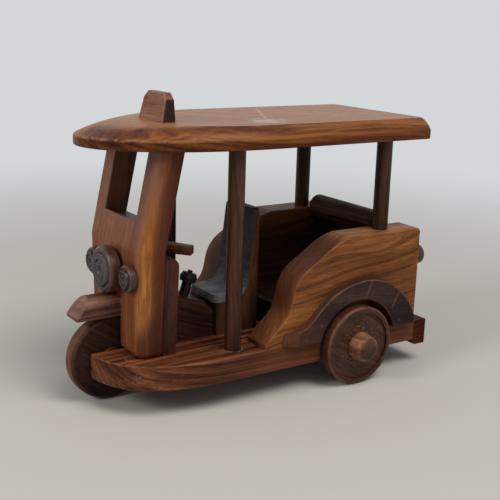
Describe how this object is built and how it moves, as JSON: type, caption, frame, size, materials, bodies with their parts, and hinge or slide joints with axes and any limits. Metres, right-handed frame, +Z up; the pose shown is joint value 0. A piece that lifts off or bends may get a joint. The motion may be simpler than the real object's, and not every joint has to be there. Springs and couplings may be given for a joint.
{
  "type": "toy auto rickshaw",
  "caption": "Carved wooden toy auto rickshaw: round-nosed roof board on dowel posts, open cab, curved passenger tub, wheels that turn.",
  "frame": {"origin": "on the floor, under the middle of the overall length and width", "axes": "+X forward, towards the front wheel; +Y to the vehicle's left; +Z up"},
  "size_m": [0.19, 0.114, 0.1455],
  "materials": {
    "rosewood_body": "oiled wood, orange brown",
    "rosewood_base": "oiled wood, reddish brown",
    "rosewood_roof": "waxed wood, reddish brown",
    "dark_posts": "waxed dowel, dark brown",
    "turned_dark": "turned wood, dark reddish brown",
    "fender_dark": "oiled wood, purple brown",
    "seat_brown": "oiled wood, brown",
    "seat_black": "blackened wood, satin"
  },
  "bodies": {
    "toy": {"base_board": "rosewood_base", "rear_bumper": "rosewood_base", "front_axle": "turned_dark", "front_panel": "rosewood_body", "dash_board": "rosewood_base", "roof_board": "rosewood_roof", "roof_sign": "rosewood_roof", "front_mudguard": "turned_dark", "driver_seat_block": "seat_brown", "driver_seat_pad": "seat_black", "console_block": "rosewood_base", "gear_lever": "turned_dark", "handlebar": "seat_brown", "bench_seat": "rosewood_base", "backrest_panel": "rosewood_base", "backrest_roll": "turned_dark", "headlamp_center": "turned_dark", "wheel_peg_left": "turned_dark", "side_panel_left": "rosewood_body", "fender_left": "fender_dark", "tail_lamp_left": "turned_dark", "headlamp_left": "turned_dark", "post_middle_left": "dark_posts", "post_rear_left": "dark_posts", "wheel_peg_right": "turned_dark", "side_panel_right": "rosewood_body", "fender_right": "fender_dark", "tail_lamp_right": "turned_dark", "headlamp_right": "turned_dark", "post_middle_right": "dark_posts", "post_rear_right": "dark_posts"},
    "front_wheel": {"front_wheel": "turned_dark"},
    "rear_wheel_left": {"rear_wheel_left": "turned_dark"},
    "rear_wheel_right": {"rear_wheel_right": "turned_dark"}
  },
  "joints": [
    {"name": "front_wheel_spin", "type": "hinge", "parent": "toy", "child": "front_wheel", "pos_m": [0.0744, 0, 0.0206], "axis": [0, 1, 0], "continuous": true},
    {"name": "rear_wheel_left_spin", "type": "hinge", "parent": "toy", "child": "rear_wheel_left", "pos_m": [-0.0416, 0.04625, 0.0204], "axis": [0, 1, 0], "continuous": true},
    {"name": "rear_wheel_right_spin", "type": "hinge", "parent": "toy", "child": "rear_wheel_right", "pos_m": [-0.0416, -0.04625, 0.0204], "axis": [0, 1, 0], "continuous": true}
  ]
}
